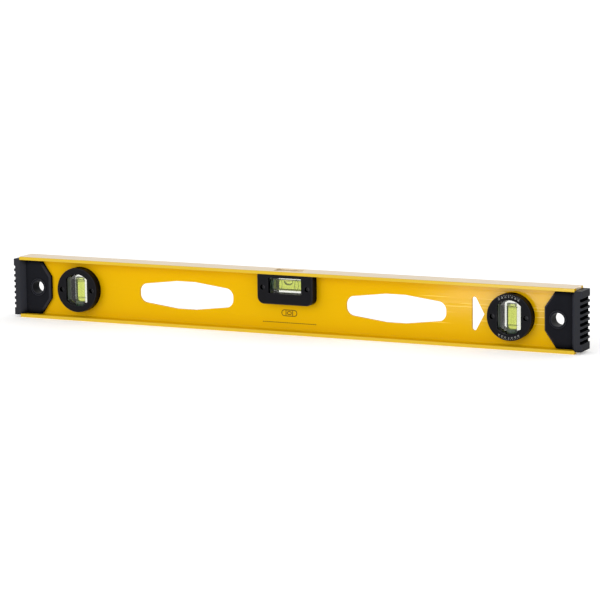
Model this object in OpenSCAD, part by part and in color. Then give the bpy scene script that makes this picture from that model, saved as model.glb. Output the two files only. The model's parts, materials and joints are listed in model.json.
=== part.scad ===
// I-beam spirit level: a pierced extrusion with three block vials and two moulded end caps.
// X runs along the beam, Y through it from front to rear, and Z up from the lower working face.

/* [Beam] */
// Length over both end caps
overall_length = 609.6; // [590:0.1:900]
// Height between the two working faces
beam_height = 62; // [60:0.5:70]
// Width of the flanges, which are the working faces
flange_width = 24; // [23:0.5:30]
// Thickness of the flanges
flange_thickness = 3.4; // [2.6:0.1:3.8]
// Thickness of the web
web_thickness = 2.4; // [1.8:0.1:3]
// Radius in the corners between web and flanges
root_radius = 1.6; // [0.8:0.1:2]
// Radius along the long edges of the flanges
flange_edge_radius = 0.5; // [0.2:0.1:1]

/* [Hand holes] */
// Distance from the middle of the beam to the middle of each hand hole
hand_hole_offset = 113; // [105:0.5:118]
// Length of each hand hole
hand_hole_length = 104.2; // [80:0.1:110]
// Height in the middle of each hand hole
hand_hole_height = 27.8; // [24:0.1:34]
// Height that the tapering sides would have at the ends
hand_hole_end_height = 17.4; // [17:0.1:20]
// Length of the level stretch in the middle of each side
hand_hole_flat = 20; // [10:1:30]
// Radius of the corners at the ends
hand_hole_corner = 8.5; // [4:0.1:8.6]
// Radius where the level stretch turns into the tapering sides
hand_hole_blend = 10; // [2:0.5:11]

/* [Pointer] */
// Distance from the middle of the beam to the pointer's straight edge
pointer_start = 191.3; // [185:0.1:193]
// Length of the pointer from its straight edge to its tip
pointer_length = 12.6; // [8:0.1:14]
// Height that the pointer's straight edge would have with sharp corners
pointer_height = 47.2; // [40:0.1:48]
// Radius of the two blunt corners
pointer_corner = 2.5; // [1:0.1:3]
// Radius of the tip
pointer_tip = 1; // [0.4:0.1:1.5]

/* [Round vials] */
// Distance from the middle of the beam to each round vial
round_offset = 232.2; // [231:0.1:236]
// Diameter of the bezels
bezel_diameter = 45; // [44:0.1:47]
// How far the bezels' faces are from the middle plane
bezel_reach = 11; // [9:0.1:11]
// Radius of the bezels' outer edge
bezel_edge = 1.4; // [0.5:0.1:2]
// Diameter of the holes in the web
round_hole_diameter = 39; // [38.5:0.1:40]
// Diameter of the arcs at the ends of the windows
round_window_diameter = 32.6; // [30:0.1:33]
// Width of the windows between their straight sides
round_window_width = 24; // [20:0.1:24.2]
// How much further in the rear windows' edges are than the front ones'
rear_window_inset = 2.2; // [0:0.1:3.2]
// Distance of the screws from the middle of the bezel
round_screw_offset = 16.8; // [16.7:0.1:17]

/* [Centre vial] */
// Width of the centre housing
center_width = 59.5; // [59:0.1:62]
// Height of the lower edge of the centre housing above the lower working face
center_bottom = 29.4; // [28:0.1:30]
// How far the centre housing's faces are from the middle plane
center_reach = 11.5; // [11:0.1:11.5]
// Radius of the lower corners of the centre housing
center_corner = 7; // [4:0.1:9]
// Width of the window in the centre housing
center_window_width = 35.2; // [32:0.1:36]
// Width of the window in the centre housing's rear half
center_rear_window_width = 27.2; // [26:0.1:36]
// Height of the lower edge of the window above the lower working face
center_window_bottom = 40.1; // [40:0.1:41]
// Height of the upper edge of the window above the lower working face
center_window_top = 55.5; // [54.5:0.1:55.5]
// Distance of the screws from the middle of the housing
center_screw_offset = 23.9; // [23.5:0.1:24]
// Height of the screws above the lower working face
center_screw_height = 45.75; // [42:0.05:48]
// Length of the reading slot in the upper flange
slot_length = 30; // [24:0.5:34]
// Width of the reading slot in the upper flange
slot_width = 13; // [8:0.5:14]

/* [Vial tubes] */
// Radius of the liquid's bore in the centre vial
center_bore_radius = 5.3; // [5:0.1:5.5]
// Height of the centre vial's bore above the lower working face
center_bore_height = 47.8; // [47.5:0.1:48]
// Length of the liquid in the centre vial
center_bore_length = 29; // [27:0.5:30]
// Radius of the liquid's bore in the round vials
round_bore_radius = 5; // [4.8:0.1:5.2]
// Length of the liquid in the round vials
round_bore_length = 24.4; // [23:0.1:25]
// Distance of each gauge ring from the middle of its vial
gauge_offset = 8.4; // [6:0.1:9]
// Length of the centre bubble
center_bubble_length = 9.4; // [8:0.1:11]
// Radius of the centre bubble
center_bubble_radius = 2.7; // [2:0.1:3]
// Height of the bubbles in the round vials
round_bubble_height = 3; // [2.6:0.1:5]

/* [End caps] */
// How far each end cap stands out past the beam
cap_proud = 7.3; // [6:0.1:9]
// Width of the buffers, front to rear
buffer_width = 23; // [20:0.5:23]
// Distance of the buffers from the working faces
buffer_inset = 2.4; // [1.5:0.1:2.8]
// Spacing of the teeth
tooth_pitch = 5.7; // [5:0.1:6]
// Width of each tooth
tooth_width = 2.9; // [2:0.1:3.4]
// Depth of the grooves between the teeth
groove_depth = 1.9; // [1:0.1:2.5]
// How far the cheeks reach along the web from the beam's end
cheek_length = 32.1; // [30:0.1:34]
// How far the cheeks' faces are from the middle plane
cheek_reach = 6; // [5:0.1:8]
// Height of the cheeks' upright edge
cheek_edge_height = 22.2; // [16:0.1:26]
// Length of the cheeks' slanting corners along the web
cheek_slant = 11.4; // [8:0.1:13]
// Diameter of the hanging holes
hang_diameter = 12.8; // [12:0.1:14]
// Distance of the hanging holes from the beam's end
hang_offset = 18.2; // [17:0.1:19]

/* [Hidden] */
$fn = 96;

paint = [0.91, 0.68, 0.02];
black = [0.13, 0.13, 0.15];
clear = [0.86, 0.93, 0.94, 0.35];
liquid = [0.76, 0.85, 0.20, 0.6];
air = [0.95, 0.98, 0.90, 0.5];
mark = [0.05, 0.05, 0.05];
steel = [0.35, 0.35, 0.37];

over = 1;               // how far a cut runs past the face that it opens
seat_gap = 0.05;        // between faces that are pressed together
drop_in_gap = 0.1;      // around a piece that drops into a pocket
dial_running_gap = 0.06; // around the dial's hub
dial_side_gap = 0.15;   // between the dial's bezels and the web
sealed_gap = 0.04;      // around what fills a bore

beam_length = overall_length - 2 * cap_proud;
beam_end = beam_length / 2;
middle_height = beam_height / 2;
half_web = web_thickness / 2;
inner_height = beam_height - 2 * flange_thickness;
inner_top = beam_height - flange_thickness;

// Screws, all alike
screw_head_radius = 2.3;
screw_head_height = 1.7;
screw_head_round = 0.8;
screw_shank_radius = 1.2;
screw_hole_radius = 1.45;
screw_recess_radius = 2.6;
screw_recess_depth = 4.4;
screw_length = 11;
screw_point = 1.6;
pilot_radius = screw_shank_radius + seat_gap;
pilot_spare = 1;
cross_width = 0.7;
cross_length = 2.6;
cross_depth = 1;

// Round vials
bezel_lip = 3.4;
block_margin = 1;
plug_inset = 0.8;
round_pocket_depth = bezel_reach - bezel_lip;
round_block_diameter = round_window_diameter + 2 * block_margin;
round_block_width = round_window_width + 2 * block_margin;
hub_key_width = 4;
hub_key_reach = round_hole_diameter / 2 + 1.6;

// Centre vial
center_lip = 4.3;
center_chamfer = 1;
center_overlap = 3.2;
center_hole_corner = 4;
center_pocket_depth = center_reach - center_lip;
center_block_width = center_window_width + 2 * block_margin;
center_block_bottom = center_window_bottom - block_margin;
slot_corner = 2;

// Gauge rings
ring_width = 0.4;
ring_depth = 0.3;

// Bubbles: the centre one lies against the top of its bore, the others fill theirs
bubble_gap = 0.2;
bubble_clear = 0.06;
center_bubble_lift = center_bore_radius - center_bubble_radius - bubble_gap;
round_bubble_radius = round_bore_radius - 0.5;
round_bubble_edge = 1.2;
round_bubble_lift = round_bore_length / 2 - round_bubble_height / 2 - bubble_gap;

// End caps
tongue_radius = 10;
cheek_edge_bevel = 1.8;
cheek_ramp = 4;
hang_bevel = 0.5;
collar_width = 2.2;
collar_height = 1;
buffer_edge = 1;
tooth_count = 7;

function unit(v) = v / norm(v);

// An outline with round corners, one radius for each of its points. It has to be convex.
module rounded_polygon(points, radii) {
    n = len(points);
    corners = [for (i = [0 : n - 1])
        let (p = points[i],
             back = unit(points[(i + n - 1) % n] - p),
             ahead = unit(points[(i + 1) % n] - p),
             half = acos(back * ahead) / 2,
             run = radii[i] / tan(half))
        [p + back * run, p + ahead * run, p + unit(back + ahead) * radii[i] / sin(half)]];
    polygon([for (i = [0 : n - 1]) each
        (radii[i] > 0 ? [corners[i][0], corners[i][1]] : [points[i]])]);
    for (i = [0 : n - 1]) if (radii[i] > 0) translate(corners[i][2]) circle(r = radii[i]);
}

// A rectangle about the origin with round corners
module rounded_rectangle(width, height, radius) {
    square([width - 2 * radius, height], center = true);
    square([width, height - 2 * radius], center = true);
    for (x = [-1, 1], y = [-1, 1])
        translate([x * (width / 2 - radius), y * (height / 2 - radius)]) circle(r = radius);
}

// Stands an outline drawn in X and Z up as a plate that reaches from one Y to another
module plate(from, to) {
    translate([0, to, 0]) rotate([90, 0, 0]) linear_extrude(to - from) children();
}

// Runs an outline drawn in Y and Z along X
module along_x(from, to) {
    translate([from, 0, 0]) rotate([90, 0, 90]) linear_extrude(to - from) children();
}

// Turns a profile about the Y axis: its first number is the radius, its second how far it is to the front
module turned() {
    rotate([90, 0, 0]) rotate_extrude() children();
}

// A rod along Y
module cross_rod(from, to, radius) {
    translate([0, to, 0]) rotate([90, 0, 0]) cylinder(h = to - from, r = radius);
}

module at_round_vial(side) {
    translate([side * round_offset, 0, middle_height]) children();
}

module at_center_bore() {
    translate([0, 0, center_bore_height]) rotate([0, 90, 0]) children();
}

// Beam

module beam_section() {
    for (z = [flange_thickness / 2, beam_height - flange_thickness / 2])
        translate([0, z]) rounded_rectangle(flange_width, flange_thickness, flange_edge_radius);
    translate([-half_web, flange_thickness / 2]) square([web_thickness, inner_height + flange_thickness]);
    for (side = [-1, 1], end = [-1, 1])
        translate([side * half_web, middle_height + end * inner_height / 2])
            mirror([side < 0 ? 1 : 0, 0]) mirror([0, end > 0 ? 1 : 0]) difference() {
                translate([-half_web / 2, -flange_thickness / 4])
                    square([root_radius + half_web / 2, root_radius + flange_thickness / 4]);
                translate([root_radius, root_radius]) circle(r = root_radius);
            }
}

module hand_hole_outline() {
    end = hand_hole_length / 2;
    flat = hand_hole_flat / 2;
    corner = hand_hole_end_height / 2;
    middle = hand_hole_height / 2;
    rounded_polygon(
        [[end, -corner], [end, corner], [flat, middle], [-flat, middle],
         [-end, corner], [-end, -corner], [-flat, -middle], [flat, -middle]],
        [hand_hole_corner, hand_hole_corner, hand_hole_blend, hand_hole_blend,
         hand_hole_corner, hand_hole_corner, hand_hole_blend, hand_hole_blend]);
}

module pointer_outline() {
    rounded_polygon(
        [[pointer_start, -pointer_height / 2], [pointer_start + pointer_length, 0],
         [pointer_start, pointer_height / 2]],
        [pointer_corner, pointer_tip, pointer_corner]);
}

// The opening or the hub that fills it: gap is how much smaller the hub is
module center_hub_outline(gap) {
    half = center_width / 2 - center_overlap - gap;
    bottom = center_bottom + center_overlap + gap;
    rounded_polygon([[half, bottom], [half, inner_top - gap], [-half, inner_top - gap], [-half, bottom]],
                    [center_hole_corner, 0, 0, center_hole_corner]);
}

module hub_keys(width, reach) {
    for (side = [-1, 1]) translate([-width / 2, side > 0 ? 0 : -reach]) square([width, reach]);
}

module tongue_outline(gap) {
    hang_x = beam_end - hang_offset;
    translate([hang_x, 0]) circle(r = tongue_radius - gap);
    translate([hang_x, -tongue_radius + gap])
        square([hang_offset + over, 2 * (tongue_radius - gap)]);
}

module beam() {
    cut = half_web + root_radius + over;
    color(paint) difference() {
        along_x(-beam_end, beam_end) beam_section();
        for (side = [-1, 1])
            translate([side * hand_hole_offset, 0, middle_height]) plate(-cut, cut) hand_hole_outline();
        translate([0, 0, middle_height]) plate(-cut, cut) pointer_outline();
        plate(-cut, cut) center_hub_outline(0);
        for (side = [-1, 1]) at_round_vial(side) cross_rod(-cut, cut, round_hole_diameter / 2);
        at_round_vial(-1)
            plate(-cut, cut) hub_keys(hub_key_width + 2 * drop_in_gap, hub_key_reach + drop_in_gap);
        for (side = [0, 1]) mirror([side, 0, 0])
            translate([0, 0, middle_height]) plate(-cut, cut) tongue_outline(0);
        translate([0, 0, inner_top - over]) linear_extrude(flange_thickness + 2 * over)
            rounded_rectangle(slot_length, slot_width, slot_corner);
    }
}

// End caps

module root_relief() {
    size = root_radius + drop_in_gap;
    for (side = [-1, 1], end = [-1, 1])
        translate([side * (half_web + size / 2), middle_height + end * (inner_height / 2 - size / 2)])
            square([size + 2 * seat_gap, size + 2 * seat_gap], center = true);
}

// Where the face and the edge from p to q meet, as a bar turned by half a right angle
module edge_bevel(p, q, reach) {
    run = q - p;
    translate([p[0], -reach, middle_height + p[1]]) rotate([0, -atan2(run[1], run[0]), 0])
        translate([-over, 0, 0]) rotate([45, 0, 0])
            translate([0, -cheek_edge_bevel / sqrt(2), -cheek_edge_bevel / sqrt(2)])
                cube([norm(run) + 2 * over, cheek_edge_bevel * sqrt(2), cheek_edge_bevel * sqrt(2)]);
}

module cheek_plan() {
    inner = half_web + seat_gap;
    back = beam_end - cheek_length;
    for (side = [0, 1]) mirror([0, side]) polygon([
        [back, inner], [back, cheek_reach], [beam_end - cheek_ramp, cheek_reach],
        [beam_end, buffer_width / 2], [beam_end + over, buffer_width / 2], [beam_end + over, inner]]);
}

module cheeks() {
    back = beam_end - cheek_length;
    top = inner_height / 2 - drop_in_gap;
    edge = cheek_edge_height / 2;
    outline = [[back, -edge], [back, edge], [back + cheek_slant, top], [beam_end + over, top],
               [beam_end + over, -top], [back + cheek_slant, -top]];
    difference() {
        intersection() {
            linear_extrude(beam_height) cheek_plan();
            translate([0, 0, middle_height]) plate(-buffer_width, buffer_width) polygon(outline);
        }
        for (side = [0, 1]) mirror([0, side, 0]) {
            edge_bevel(outline[0], outline[1], cheek_reach);
            edge_bevel(outline[1], outline[2], cheek_reach);
            edge_bevel(outline[5], outline[0], cheek_reach);
        }
        along_x(back - over, beam_end + seat_gap) root_relief();
    }
}

module buffer_side() {
    inside = beam_end + seat_gap;
    face = overall_length / 2;
    half = middle_height - buffer_inset;
    land = tooth_pitch * (tooth_count + 1) / 2 - tooth_width / 2;
    tip = tooth_width / 2;
    translate([inside, -half]) square([face - groove_depth - inside, 2 * half]);
    for (k = [-(tooth_count - 1) / 2 : (tooth_count - 1) / 2]) translate([face - tip, k * tooth_pitch]) {
        circle(r = tip);
        translate([-groove_depth + tip - over, -tip]) square([groove_depth - tip + over, 2 * tip]);
    }
    for (side = [0, 1]) mirror([0, side]) rounded_polygon(
        [[inside, land], [face, land], [face, half], [inside, half]],
        [0, buffer_edge, buffer_edge, 0]);
}

module buffer_plan() {
    face = overall_length / 2;
    half = buffer_width / 2;
    rounded_polygon([[beam_end, -half], [face, -half], [face, half], [beam_end, half]],
                    [0, buffer_edge, buffer_edge, 0]);
}

module end_cap() {
    hang_x = beam_end - hang_offset;
    hang = hang_diameter / 2;
    collar = hang + collar_width;
    face = cheek_reach + collar_height;
    color(black) difference() {
        union() {
            cheeks();
            translate([hang_x, 0, middle_height]) for (side = [0, 1]) mirror([0, side, 0]) turned()
                polygon([[0, cheek_reach - over], [collar, cheek_reach - over],
                         [collar, face - hang_bevel], [collar - hang_bevel, face], [0, face]]);
            intersection() {
                linear_extrude(beam_height) buffer_plan();
                translate([0, 0, middle_height]) plate(-buffer_width, buffer_width) buffer_side();
            }
            translate([0, 0, middle_height]) plate(-half_web - 2 * seat_gap, half_web + 2 * seat_gap)
                tongue_outline(drop_in_gap);
        }
        translate([hang_x, 0, middle_height]) {
            cross_rod(-face - over, face + over, hang);
            for (side = [0, 1]) mirror([0, side, 0]) turned()
                polygon([[0, face - hang_bevel - hang], [hang + hang_bevel + over, face + over],
                         [0, face + over]]);
        }
    }
}

module end_cap_right() { end_cap(); }
module end_cap_left() { mirror([1, 0, 0]) end_cap(); }

// Screws: they enter from the front, and their heads sit in recesses

// A pair of screws, for a housing whose face is at reach
module screw_pair(offset, reach) {
    seat = reach - screw_recess_depth;
    top = seat + screw_head_height;
    color(steel) for (side = [-1, 1]) translate([side * offset, 0, 0]) difference() {
        turned() {
            rounded_polygon([[0, seat], [screw_head_radius, seat], [screw_head_radius, top], [0, top]],
                            [0, 0, screw_head_round, 0]);
            polygon([[0, seat], [screw_shank_radius, seat],
                     [screw_shank_radius, seat - screw_length + screw_point], [0, seat - screw_length]]);
        }
        for (turn = [0, 90]) rotate([0, turn + 30, 0])
            translate([-cross_width / 2, -top - over, -cross_length / 2])
                cube([cross_width, cross_depth + over, cross_length]);
    }
}

// What the screws need: holes and recesses in the front half, blind pilot holes in the rear half
module screw_cuts(offset, reach, front) {
    for (side = [-1, 1]) translate([side * offset, 0, 0]) {
        if (front) {
            cross_rod(-reach - over, over, screw_hole_radius);
            cross_rod(-reach - over, -reach + screw_recess_depth, screw_recess_radius);
        } else {
            cross_rod(-over, screw_length + screw_recess_depth - reach + pilot_spare, pilot_radius);
        }
    }
}

// Round housings

module round_outline(diameter, width) {
    intersection() {
        circle(d = diameter);
        square([width, diameter], center = true);
    }
}

// One half of a round housing, facing the front: gap is the room around its hub, side_gap that behind its
// bezel, and a keyed one can't turn in the web
module round_half(gap, side_gap, front, keyed) {
    hub = round_hole_diameter / 2 - gap;
    rim = bezel_diameter / 2;
    step = half_web + side_gap;
    inset = front ? 0 : rear_window_inset;
    difference() {
        union() {
            turned() {
                rounded_polygon([[0, step], [rim, step], [rim, bezel_reach], [0, bezel_reach]],
                                [0, 0, bezel_edge, 0]);
                square([hub, step + over]);
            }
            if (keyed)
                plate(-step - over, 0) hub_keys(hub_key_width, hub_key_reach);
        }
        plate(-round_pocket_depth, over)
            round_outline(round_block_diameter + 2 * drop_in_gap, round_block_width + 2 * drop_in_gap);
        plate(-bezel_reach - over, over)
            round_outline(round_window_diameter - 2 * inset, round_window_width - 2 * inset);
        rotate([0, 0, front ? 0 : 180]) screw_cuts(round_screw_offset, bezel_reach, front);
    }
}

module plumb_housing_front() {
    color(black) at_round_vial(-1) round_half(drop_in_gap, seat_gap, true, true);
}
module plumb_housing_rear() {
    color(black) at_round_vial(-1) rotate([0, 0, 180]) round_half(drop_in_gap, seat_gap, false, true);
}
module dial_housing_front() {
    color(black) at_round_vial(1) round_half(dial_running_gap, dial_side_gap, true, false);
}
module dial_housing_rear() {
    color(black) at_round_vial(1) rotate([0, 0, 180])
        round_half(dial_running_gap, dial_side_gap, false, false);
}
module plumb_screws() { at_round_vial(-1) screw_pair(round_screw_offset, bezel_reach); }
module dial_screws() { at_round_vial(1) screw_pair(round_screw_offset, bezel_reach); }

// Centre housing

// One half of the centre housing, facing the front
module center_half(front) {
    half = center_width / 2;
    top = inner_top - drop_in_gap;
    step = half_web + seat_gap;
    pocket_width = center_block_width + 2 * drop_in_gap;
    window_width = front ? center_window_width : center_rear_window_width;
    difference() {
        union() {
            hull() {
                plate(-center_reach + center_chamfer, -step)
                    rounded_polygon([[half, center_bottom], [half, top],
                                     [-half, top], [-half, center_bottom]],
                                    [center_corner, 0, 0, center_corner]);
                plate(-center_reach, -step)
                    rounded_polygon([[half - center_chamfer, center_bottom + center_chamfer],
                                     [half - center_chamfer, top], [-half + center_chamfer, top],
                                     [-half + center_chamfer, center_bottom + center_chamfer]],
                                    [center_corner - center_chamfer, 0, 0, center_corner - center_chamfer]);
            }
            plate(-step - over, 0) center_hub_outline(drop_in_gap);
        }
        translate([-pocket_width / 2, -center_pocket_depth, center_block_bottom - drop_in_gap])
            cube([pocket_width, center_pocket_depth + over, beam_height]);
        translate([-window_width / 2, -center_reach - over, center_window_bottom])
            cube([window_width, center_reach + 2 * over, center_window_top - center_window_bottom]);
        translate([0, 0, center_screw_height]) rotate([0, 0, front ? 0 : 180])
            screw_cuts(center_screw_offset, center_reach, front);
        along_x(-half - over, half + over) root_relief();
    }
}

module center_housing_front() { color(black) center_half(true); }
module center_housing_rear() { color(black) rotate([0, 0, 180]) center_half(false); }
module center_screws() {
    translate([0, 0, center_screw_height]) screw_pair(center_screw_offset, center_reach);
}

// Vials, drawn with the bore along Z and its middle at the origin

// The bore, closed at its upper end, with the seats of its two gauge rings
module bore_cut(radius, length) {
    translate([0, 0, -length * 2]) cylinder(h = length * 2.5, r = radius);
    gauge_bands(radius - ring_depth, radius + ring_depth, ring_width);
}

module gauge_bands(inner, outer, width) {
    for (side = [-1, 1]) translate([0, 0, side * gauge_offset - width / 2]) difference() {
        cylinder(h = width, r = outer);
        translate([0, 0, -over]) cylinder(h = width + 2 * over, r = inner);
    }
}

module gauge_ring_pair(radius) {
    gap = sealed_gap / 2;
    color(mark) gauge_bands(radius + gap, radius + ring_depth - gap, ring_width - 2 * gap);
}

module bore_plug(radius, length, end) {
    color(clear) translate([0, 0, -end])
        cylinder(h = end - length / 2 - sealed_gap, r = radius - sealed_gap);
}

// A body of liquid that leaves room for a bubble, which is its child
module spirit(radius, length) {
    color(liquid) difference() {
        translate([0, 0, sealed_gap - length / 2])
            cylinder(h = length - 2 * sealed_gap, r = radius - sealed_gap);
        children();
    }
}

module long_bubble(grown) {
    radius = center_bubble_radius + grown;
    half = center_bubble_length / 2 - center_bubble_radius;
    translate([-center_bubble_lift, 0, 0]) {
        translate([0, 0, -half]) cylinder(h = 2 * half, r = radius);
        for (end = [-half, half]) translate([0, 0, end]) sphere(r = radius);
    }
}

module short_bubble(grown) {
    half = round_bubble_height / 2 + grown;
    radius = round_bubble_radius + grown;
    edge = round_bubble_edge + grown;
    translate([0, 0, round_bubble_lift]) rotate_extrude()
        rounded_polygon([[0, -half], [radius, -half], [radius, half], [0, half]], [0, edge, edge, 0]);
}

module center_vial_block() {
    width = center_block_width;
    height = inner_top - seat_gap - center_block_bottom;
    depth = 2 * (center_pocket_depth - seat_gap);
    color(clear) difference() {
        translate([-width / 2, -depth / 2, center_block_bottom]) cube([width, depth, height]);
        at_center_bore() bore_cut(center_bore_radius, center_bore_length);
    }
}

module center_vial_plug() {
    at_center_bore() bore_plug(center_bore_radius, center_bore_length, center_block_width / 2 - plug_inset);
}
module center_spirit() {
    at_center_bore() spirit(center_bore_radius, center_bore_length) long_bubble(bubble_clear);
}
module center_bubble() { color(air) at_center_bore() long_bubble(0); }
module center_gauge_rings() { at_center_bore() gauge_ring_pair(center_bore_radius); }

module round_vial_block() {
    reach = round_pocket_depth - seat_gap;
    color(clear) difference() {
        plate(-reach, reach) round_outline(round_block_diameter, round_block_width);
        bore_cut(round_bore_radius, round_bore_length);
    }
}

module round_vial_plug() {
    bore_plug(round_bore_radius, round_bore_length, round_block_diameter / 2 - plug_inset);
}
module round_spirit() {
    spirit(round_bore_radius, round_bore_length) short_bubble(bubble_clear);
}

module plumb_vial_block() { at_round_vial(-1) round_vial_block(); }
module plumb_vial_plug() { at_round_vial(-1) round_vial_plug(); }
module plumb_spirit() { at_round_vial(-1) round_spirit(); }
module plumb_bubble() { color(air) at_round_vial(-1) short_bubble(0); }
module plumb_gauge_rings() { at_round_vial(-1) gauge_ring_pair(round_bore_radius); }

module dial_vial_block() { at_round_vial(1) round_vial_block(); }
module dial_vial_plug() { at_round_vial(1) round_vial_plug(); }
module dial_spirit() { at_round_vial(1) round_spirit(); }
module dial_bubble() { color(air) at_round_vial(1) short_bubble(0); }
module dial_gauge_rings() { at_round_vial(1) gauge_ring_pair(round_bore_radius); }

beam();
end_cap_left();
end_cap_right();
center_housing_front();
center_housing_rear();
center_vial_block();
center_spirit();
center_bubble();
center_gauge_rings();
center_vial_plug();
center_screws();
plumb_housing_front();
plumb_housing_rear();
plumb_vial_block();
plumb_spirit();
plumb_bubble();
plumb_gauge_rings();
plumb_vial_plug();
plumb_screws();
dial_housing_front();
dial_housing_rear();
dial_vial_block();
dial_spirit();
dial_bubble();
dial_gauge_rings();
dial_vial_plug();
dial_screws();
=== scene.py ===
"""The looks of the spirit level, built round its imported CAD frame.

Lengths are in metres, in the frame's own axes: the beam lies along X, its front faces -Y, and Z is up.
"""

import json
import math

import bmesh
import bpy
from mathutils import Matrix, Vector

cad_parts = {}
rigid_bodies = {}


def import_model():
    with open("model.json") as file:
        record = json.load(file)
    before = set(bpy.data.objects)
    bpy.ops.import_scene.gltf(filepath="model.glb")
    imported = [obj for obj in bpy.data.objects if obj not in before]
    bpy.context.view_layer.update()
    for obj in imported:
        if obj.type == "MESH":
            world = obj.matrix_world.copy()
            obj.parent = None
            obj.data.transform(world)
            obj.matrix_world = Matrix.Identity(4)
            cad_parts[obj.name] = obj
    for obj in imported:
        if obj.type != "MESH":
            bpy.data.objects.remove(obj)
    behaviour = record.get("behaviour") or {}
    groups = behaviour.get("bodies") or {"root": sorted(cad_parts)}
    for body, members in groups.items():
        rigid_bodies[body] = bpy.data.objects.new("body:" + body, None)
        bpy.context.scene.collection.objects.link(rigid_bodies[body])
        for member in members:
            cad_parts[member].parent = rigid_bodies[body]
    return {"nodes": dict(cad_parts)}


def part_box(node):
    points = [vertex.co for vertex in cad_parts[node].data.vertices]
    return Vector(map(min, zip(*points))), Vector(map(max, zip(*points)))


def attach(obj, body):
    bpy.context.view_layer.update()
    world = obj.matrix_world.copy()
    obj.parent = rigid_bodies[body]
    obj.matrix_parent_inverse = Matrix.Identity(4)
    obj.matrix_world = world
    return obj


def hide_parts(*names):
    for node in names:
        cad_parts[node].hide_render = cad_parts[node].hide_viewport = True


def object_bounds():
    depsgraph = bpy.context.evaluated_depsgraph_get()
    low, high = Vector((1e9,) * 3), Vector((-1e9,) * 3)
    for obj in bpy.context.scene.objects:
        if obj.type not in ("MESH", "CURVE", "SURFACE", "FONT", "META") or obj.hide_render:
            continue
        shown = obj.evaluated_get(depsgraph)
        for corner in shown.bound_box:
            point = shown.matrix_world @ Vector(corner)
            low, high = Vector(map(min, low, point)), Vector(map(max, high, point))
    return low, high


MM = 0.001

for thing in list(bpy.data.objects):
    bpy.data.objects.remove(thing)
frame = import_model()
nodes = frame["nodes"]
cad_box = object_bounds()
cad_middle = (cad_box[0] + cad_box[1]) / 2

# Camera

CAMERA_AZIMUTH = math.radians(25.43)
CAMERA_ELEVATION = math.radians(8.97)
CAMERA_ROLL = math.radians(-0.67)
CAMERA_DISTANCE = 2.768
CAMERA_ACROSS = 10.0 * MM  # to the right of the line through the object's middle
CAMERA_UP = 1.6 * MM  # above the same line
CAMERA_LENS = 170.6
CAMERA_NEAR = 0.05
CAMERA_FAR = 500.0


def make_camera():
    outward = Vector((math.sin(CAMERA_AZIMUTH), -math.cos(CAMERA_AZIMUTH), 0))
    right = Vector((math.cos(CAMERA_AZIMUTH), math.sin(CAMERA_AZIMUTH), 0))
    back = outward * math.cos(CAMERA_ELEVATION) + Vector((0, 0, math.sin(CAMERA_ELEVATION)))
    up = back.cross(right)
    rolled_right = right * math.cos(CAMERA_ROLL) + up * math.sin(CAMERA_ROLL)
    rolled_up = up * math.cos(CAMERA_ROLL) - right * math.sin(CAMERA_ROLL)
    turn = Matrix((rolled_right, rolled_up, back)).transposed()
    stand = cad_middle + back * CAMERA_DISTANCE + right * CAMERA_ACROSS + up * CAMERA_UP
    data = bpy.data.cameras.new("camera")
    data.lens = CAMERA_LENS
    data.clip_start = CAMERA_NEAR
    data.clip_end = CAMERA_FAR
    camera = bpy.data.objects.new("camera", data)
    camera.matrix_world = Matrix.Translation(stand) @ turn.to_4x4()
    bpy.context.scene.collection.objects.link(camera)
    bpy.context.scene.camera = camera


# Nodes of materials


def set_inputs(node, tree, inputs):
    """Sets a node's inputs, by name or number, each to a plain value or to another node's output."""
    for name, value in inputs.items():
        socket = node.inputs[name if isinstance(name, int) else name.replace("_", " ")]
        if isinstance(value, bpy.types.NodeSocket):
            tree.links.new(value, socket)
        else:
            socket.default_value = value


def new_material(name, **inputs):
    """A material with one Principled shader and its plain inputs. Returns it with its tree and shader."""
    material = bpy.data.materials.new(name)
    material.use_nodes = True
    shader = material.node_tree.nodes["Principled BSDF"]
    set_inputs(shader, material.node_tree, inputs)
    return material, material.node_tree, shader


def add(tree, kind, settings=None, **inputs):
    """A new node with its settings and inputs."""
    node = tree.nodes.new("ShaderNode" + kind)
    for name, value in (settings or {}).items():
        setattr(node, name, value)
    set_inputs(node, tree, inputs)
    return node


def place(tree):
    """Where a point is on its own piece, in metres. It moves with the piece."""
    return add(tree, "TexCoord").outputs["Object"]


def parts_of(tree, vector):
    """The X, Y and Z outputs of a vector."""
    return add(tree, "SeparateXYZ", Vector=vector).outputs


def noise(tree, scale, stretch=(1, 1, 1), detail=3.0):
    """Noise with spots of about 1/scale metres, and smaller ones along an axis with a larger stretch."""
    stretched = add(tree, "Mapping", Vector=place(tree), Scale=stretch)
    return add(tree, "TexNoise", Vector=stretched.outputs[0], Scale=scale, Detail=detail).outputs[0]


def between(tree, value, low, high, to_low=0.0, to_high=1.0):
    """Carries the range from low to high over to the range from to_low to to_high, and stays inside it."""
    ranged = add(tree, "MapRange", Value=value, From_Min=low, From_Max=high, To_Min=to_low, To_Max=to_high)
    return ranged.outputs[0]


NOISE_LOW = 0.3  # nearly all values of a noise lie between these two
NOISE_HIGH = 0.7


def varied(tree, pattern, low=0.0, high=1.0):
    """A number that follows a noise between two values."""
    return between(tree, pattern, NOISE_LOW, NOISE_HIGH, low, high)


def calculate(tree, operation, a, b=0.0):
    node = add(tree, "Math", {"operation": operation})
    set_inputs(node, tree, {0: a, 1: b})
    return node.outputs[0]


def product(tree, *factors):
    result = factors[0]
    for factor in factors[1:]:
        result = calculate(tree, "MULTIPLY", result, factor)
    return result


def distance_from(tree, value, middle):
    return calculate(tree, "ABSOLUTE", calculate(tree, "SUBTRACT", value, middle))


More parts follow.
